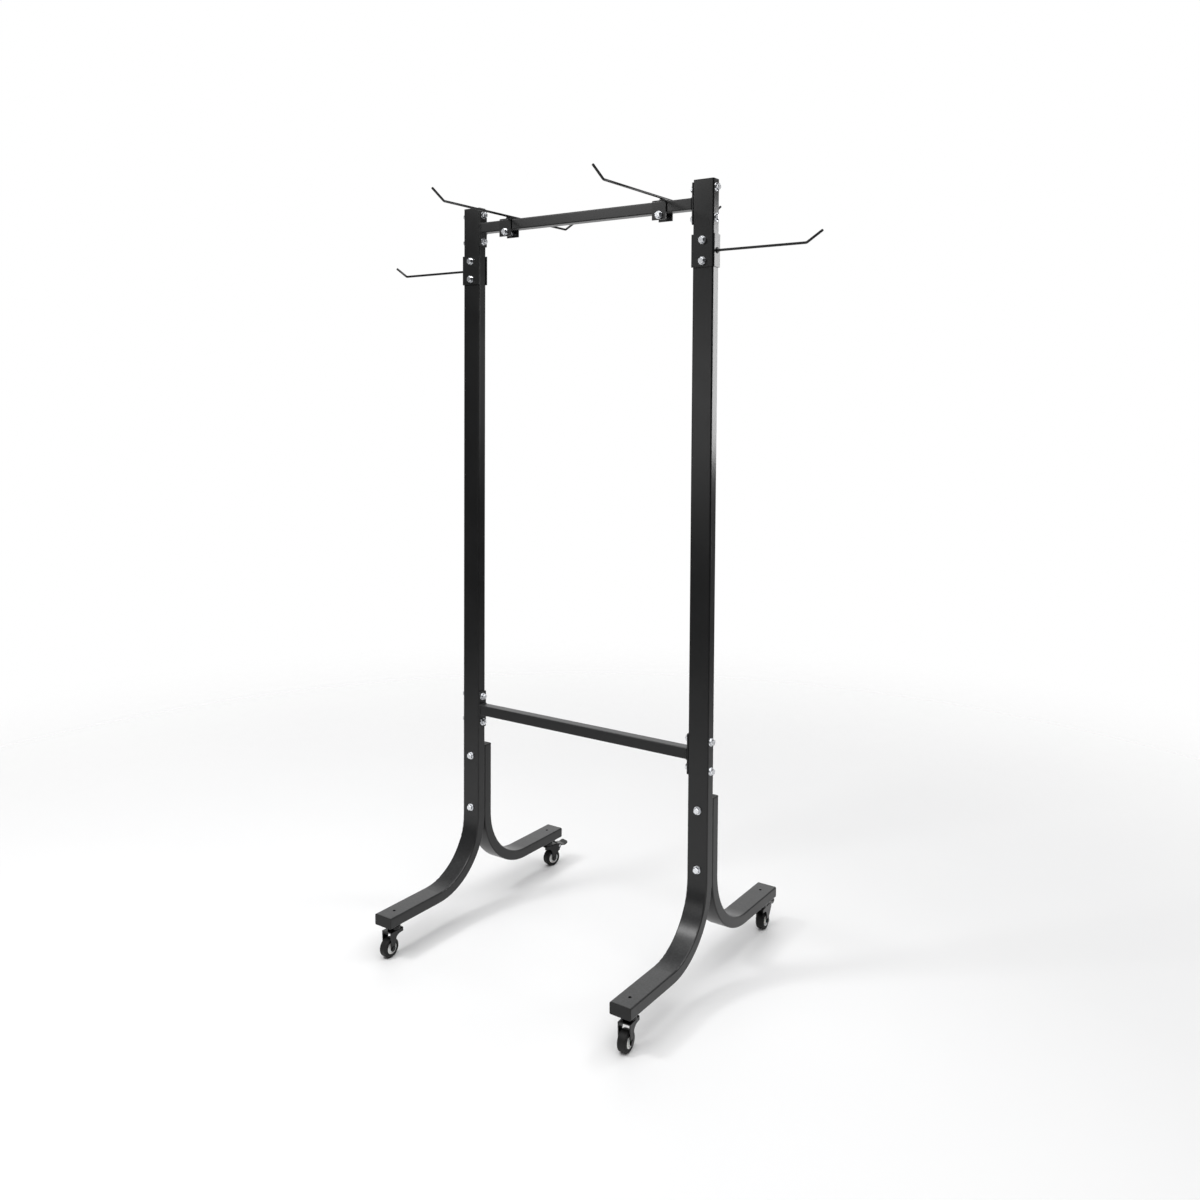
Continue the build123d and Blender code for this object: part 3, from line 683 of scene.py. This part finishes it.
backdrop_turn = radians(-30)
backdrop_edge = (0.45, 0.90)
backdrop_glow = 1.05
studio_gloom = 0.07
studio_white = (1, 1, 1, 1)
sun_spread = radians(75)
sun_energy = 2.42
sun_tilt = (radians(8), radians(10), 0)

world = bpy.data.worlds.new("studio")
bpy.context.scene.world = world
world.use_nodes = True
world.node_tree.nodes.clear()
sky = Shade(world.node_tree)
looking = sky.node("TexCoord", {}, {}, "Generated")
behind = (sin(backdrop_turn), cos(backdrop_turn), 0.0)
facing = sky.node("VectorMath", {"operation": "DOT_PRODUCT"}, {0: looking, 1: behind}, 1)
settings = {"interpolation_type": "SMOOTHSTEP"}
values = {"Value": facing, "From Min": backdrop_edge[0], "From Max": backdrop_edge[1]}
backdrop = sky.node("MapRange", settings, values) * (backdrop_glow - studio_gloom) + studio_gloom
seen = sky.node("Background", {}, {"Color": studio_white, "Strength": 1.0})
fill = sky.node("Background", {}, {"Color": studio_white, "Strength": backdrop})
direct = sky.node("LightPath", {}, {}, "Is Camera Ray")
sky.node("OutputWorld", {}, {"Surface": sky.node("MixShader", {}, {0: direct, 1: fill, 2: seen})})

lamp = bpy.data.lights.new("overhead", "SUN")
lamp.angle = sun_spread
lamp.energy = sun_energy
light = bpy.data.objects.new("overhead", lamp)
light.rotation_euler = sun_tilt
bpy.context.scene.collection.objects.link(light)


def soft_panel(name, place, aim, wide, tall, power):
    """An area light that faces a point."""
    lamp = bpy.data.lights.new(name, "AREA")
    lamp.shape = "RECTANGLE"
    lamp.size = wide
    lamp.size_y = tall
    lamp.energy = power
    light = bpy.data.objects.new(name, lamp)
    light.location = place
    light.rotation_euler = (Vector(aim) - Vector(place)).to_track_quat("-Z", "Y").to_euler()
    light.visible_camera = False
    bpy.context.scene.collection.objects.link(light)


soft_panel("side_panel", (0.66, 0.56, 1.46), (0.35, 0.0, 1.42), wide=0.30, tall=0.66, power=4.5)
soft_panel("front_panel", (-1.12, -2.63, 1.30), (0.33, 0.0, 1.20), wide=0.8, tall=0.9, power=5)
soft_panel("high_panel", (-1.05, -1.45, 2.5), (0.33, -0.15, 0.2), wide=0.45, tall=0.5, power=19)

camera_place = Vector((1.4591, -2.0637, 1.2675))
camera_yaw = radians(33.99)
camera_pitch = radians(2.256)
camera_roll = radians(0.36)
camera_sensor = 36.0
camera_lens = 32.51
camera_shift = (-0.0067, -0.1245)
camera_data = bpy.data.cameras.new("camera")
camera_data.sensor_width = camera_sensor
camera_data.lens = camera_lens
camera_data.shift_x, camera_data.shift_y = camera_shift
camera = bpy.data.objects.new("camera", camera_data)
ahead = Vector(
    (-sin(camera_yaw) * cos(camera_pitch), cos(camera_yaw) * cos(camera_pitch), -sin(camera_pitch))
)
level = Vector((cos(camera_yaw), sin(camera_yaw), 0))
upright = level.cross(ahead)
across = level * cos(camera_roll) + upright * sin(camera_roll)
upward_axis = upright * cos(camera_roll) - level * sin(camera_roll)
turn = Matrix((across, upward_axis, -ahead)).transposed()
camera.matrix_world = Matrix.Translation(camera_place) @ turn.to_4x4()
bpy.context.scene.collection.objects.link(camera)
bpy.context.scene.camera = camera
bpy.context.scene.view_settings.view_transform = "Standard"
